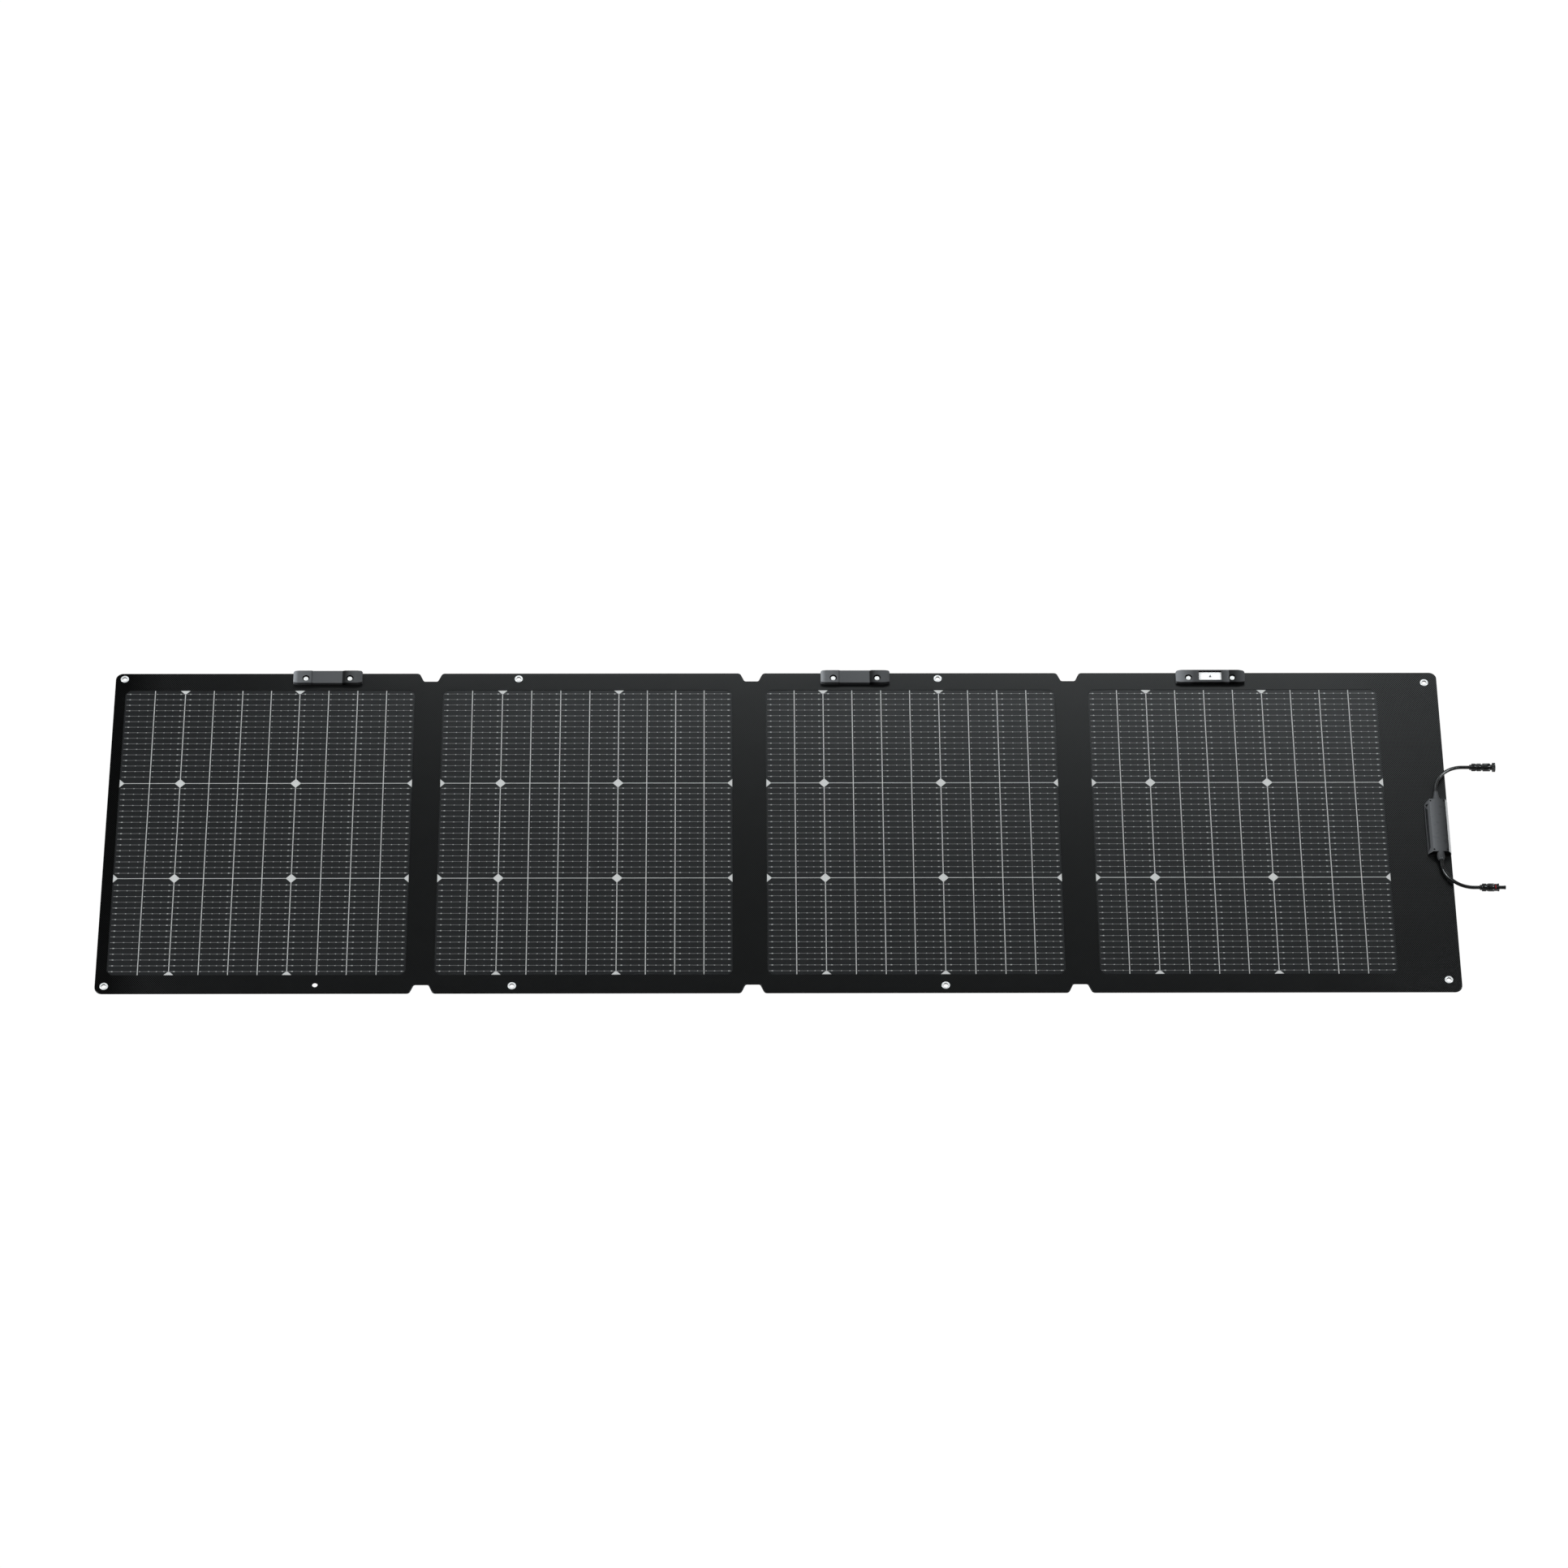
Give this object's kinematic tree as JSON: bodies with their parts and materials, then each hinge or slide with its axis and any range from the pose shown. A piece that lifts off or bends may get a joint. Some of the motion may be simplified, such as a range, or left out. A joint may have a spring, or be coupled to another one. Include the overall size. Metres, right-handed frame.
{
  "type": "folding solar sheet",
  "caption": "Flexible folding solar sheet with fabric folds, edge clips, hanging eyelets, a junction box and a pair of connector leads.",
  "frame": {"origin": "centre of the unfolded sheet on its back face", "axes": "+X along the sheet towards the junction box, +Y across it towards the edge with the clips, +Z out of the light-catching face"},
  "size_m": [2.222, 0.6178, 0.0154],
  "materials": {
    "front_textile": "fine diamond weave under a satin coating",
    "back_fabric": "plain weave, matt",
    "glass_fibre_board": "pale glass-fibre laminate",
    "silicon_cell": "dark blue-grey anti-reflective silicon",
    "tinned_ribbon": "tinned copper",
    "front_film": "clear embossed fluoropolymer film",
    "nickel_eyelet": "bright nickel plate",
    "clip_moulding": "dark grey, fine moulded grain",
    "hidden_moulding": "black",
    "bright_rivet": "bright nickel plate",
    "white_plate": "near white",
    "black_moulding": "black, semi-matt",
    "box_moulding": "dark grey, satin",
    "black_rubber": "matt",
    "circuit_board": "green solder mask",
    "black_screw": "black oxide",
    "cable_jacket": "satin black jacket",
    "red_seal": "red"
  },
  "bodies": {
    "panel_1": {"panel_1_back_fabric": "back_fabric", "panel_1_board": "glass_fibre_board", "panel_1_cells": "silicon_cell", "panel_1_ribbons": "tinned_ribbon", "panel_1_border": "front_textile", "panel_1_film": "front_film", "panel_1_eyelets": "nickel_eyelet", "clip_1_cover": "clip_moulding", "clip_1_anchor": "hidden_moulding", "clip_1_rivets": "bright_rivet"},
    "crease_1": {"fold_1_fabric": "front_textile", "fold_1_jumpers": "tinned_ribbon"},
    "panel_2": {"panel_2_back_fabric": "back_fabric", "panel_2_board": "glass_fibre_board", "panel_2_cells": "silicon_cell", "panel_2_ribbons": "tinned_ribbon", "panel_2_border": "front_textile", "panel_2_film": "front_film", "panel_2_eyelets": "nickel_eyelet"},
    "crease_2": {"fold_2_fabric": "front_textile", "fold_2_jumpers": "tinned_ribbon"},
    "panel_3": {"panel_3_back_fabric": "back_fabric", "panel_3_board": "glass_fibre_board", "panel_3_cells": "silicon_cell", "panel_3_ribbons": "tinned_ribbon", "panel_3_border": "front_textile", "panel_3_film": "front_film", "panel_3_eyelets": "nickel_eyelet", "clip_2_cover": "clip_moulding", "clip_2_anchor": "hidden_moulding", "clip_2_rivets": "bright_rivet"},
    "crease_3": {"fold_3_fabric": "front_textile", "fold_3_jumpers": "tinned_ribbon"},
    "panel_4": {"panel_4_back_fabric": "back_fabric", "panel_4_board": "glass_fibre_board", "panel_4_cells": "silicon_cell", "panel_4_ribbons": "tinned_ribbon", "panel_4_border": "front_textile", "panel_4_film": "front_film", "panel_4_eyelets": "nickel_eyelet", "clip_3_cover": "clip_moulding", "clip_3_anchor": "hidden_moulding", "clip_3_rivets": "bright_rivet", "sun_plate": "white_plate", "sun_pin": "black_moulding", "box_base": "box_moulding", "box_gasket": "black_rubber", "box_board": "circuit_board", "box_lid": "box_moulding", "box_screws": "black_screw", "box_glands": "box_moulding"},
    "socket_lead": {"socket_lead": "cable_jacket", "socket_nut": "black_moulding", "socket_body": "black_moulding", "socket_contact": "tinned_ribbon"},
    "plug_lead": {"plug_lead": "cable_jacket", "plug_nut": "black_moulding", "plug_body": "black_moulding", "plug_contact": "tinned_ribbon", "plug_seal": "red_seal"}
  },
  "joints": [
    {"name": "fold_1", "type": "hinge", "parent": "panel_1", "child": "crease_1", "pos_m": [-0.5645, 0, 0.0028], "axis": [0, -1, 0], "range_deg": [0, 90]},
    {"name": "fold_1_far_crease", "type": "hinge", "parent": "crease_1", "child": "panel_2", "pos_m": [-0.5559, 0, 0.0028], "axis": [0, -1, 0], "range_deg": [0, 90]},
    {"name": "fold_2", "type": "hinge", "parent": "panel_2", "child": "crease_2", "pos_m": [-0.0442, 0, 0], "axis": [0, 1, 0], "range_deg": [0, 90]},
    {"name": "fold_2_far_crease", "type": "hinge", "parent": "crease_2", "child": "panel_3", "pos_m": [-0.0382, 0, 0], "axis": [0, 1, 0], "range_deg": [0, 90]},
    {"name": "fold_3", "type": "hinge", "parent": "panel_3", "child": "crease_3", "pos_m": [0.4675, 0, 0.0028], "axis": [0, -1, 0], "range_deg": [0, 89.5]},
    {"name": "fold_3_far_crease", "type": "hinge", "parent": "crease_3", "child": "panel_4", "pos_m": [0.4761, 0, 0.0028], "axis": [0, -1, 0], "range_deg": [0, 89.5]},
    {"name": "socket_lead_swing", "type": "hinge", "parent": "panel_4", "child": "socket_lead", "pos_m": [1.0528, 0.07045, 0.0092], "axis": [0, 0, 1], "range_deg": [-30, 60]},
    {"name": "plug_lead_swing", "type": "hinge", "parent": "panel_4", "child": "plug_lead", "pos_m": [1.0528, -0.06745, 0.0092], "axis": [0, 0, 1], "range_deg": [-60, 30]}
  ],
  "couplings": [
    {"joint": "fold_1_far_crease", "follows": "fold_1", "ratio": 1},
    {"joint": "fold_2_far_crease", "follows": "fold_2", "ratio": 1},
    {"joint": "fold_3_far_crease", "follows": "fold_3", "ratio": 1}
  ]
}
